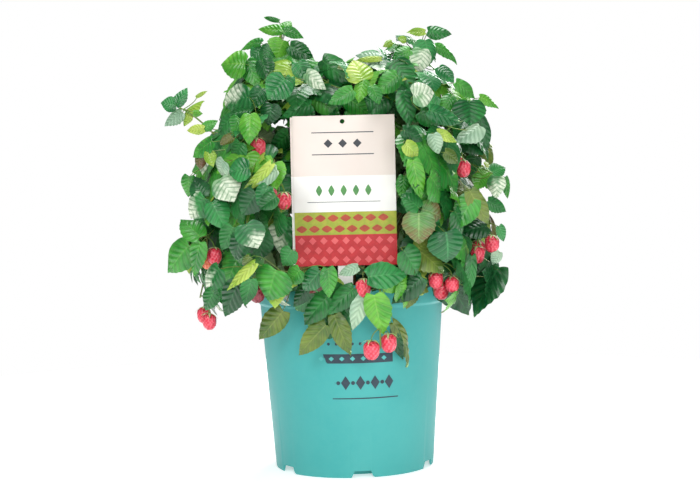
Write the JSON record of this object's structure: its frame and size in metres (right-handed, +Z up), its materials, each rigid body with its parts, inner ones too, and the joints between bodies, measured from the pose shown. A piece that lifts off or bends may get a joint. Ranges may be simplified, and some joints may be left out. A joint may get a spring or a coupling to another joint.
{
  "type": "raspberry bush in a pot",
  "caption": "Potted raspberry bush: arching canes with three-part leaves and red berries, in a tapered nursery pot with a plain stick-in label.",
  "frame": {"origin": "middle of the flat underside of the pot, level with what the pot stands on", "axes": "+Z up along the pot's axis; -Y is the front, where the label is; +X is to the right seen from the front"},
  "size_m": [0.4004, 0.3821, 0.5197],
  "materials": {
    "pot": "turquoise moulded plastic, satin",
    "compost": "moist dark potting compost",
    "label": "printed plastic card, satin",
    "canes": "green-brown bark",
    "foliage": "fresh green leaves with red berries"
  },
  "bodies": {
    "root": {"pot": "pot", "compost": "compost", "label_front": "label", "label_stake": "label", "cane_top_left": "canes", "cane_top_right": "canes", "cane_top_front": "canes", "cane_top_back": "canes", "cane_mid_left": "canes", "cane_mid_front_left": "canes", "cane_mid_front_right": "canes", "cane_mid_right": "canes", "cane_mid_back_right": "canes", "cane_mid_back": "canes", "cane_mid_back_left": "canes", "cane_low_front": "canes", "cane_low_front_left": "canes", "cane_low_front_right": "canes", "cane_low_left": "canes", "cane_low_right": "canes", "cane_low_back_right": "canes", "cane_low_back_left": "canes", "foliage_top_left": "foliage", "foliage_top_right": "foliage", "foliage_top_front": "foliage", "foliage_top_back": "foliage", "foliage_mid_left": "foliage", "foliage_mid_front_left": "foliage", "foliage_mid_front_right": "foliage", "foliage_mid_right": "foliage", "foliage_mid_back_right": "foliage", "foliage_mid_back": "foliage", "foliage_mid_back_left": "foliage", "foliage_low_front": "foliage", "foliage_low_front_left": "foliage", "foliage_low_front_right": "foliage", "foliage_low_left": "foliage", "foliage_low_right": "foliage", "foliage_low_back_right": "foliage", "foliage_low_back_left": "foliage"}
  },
  "joints": []
}
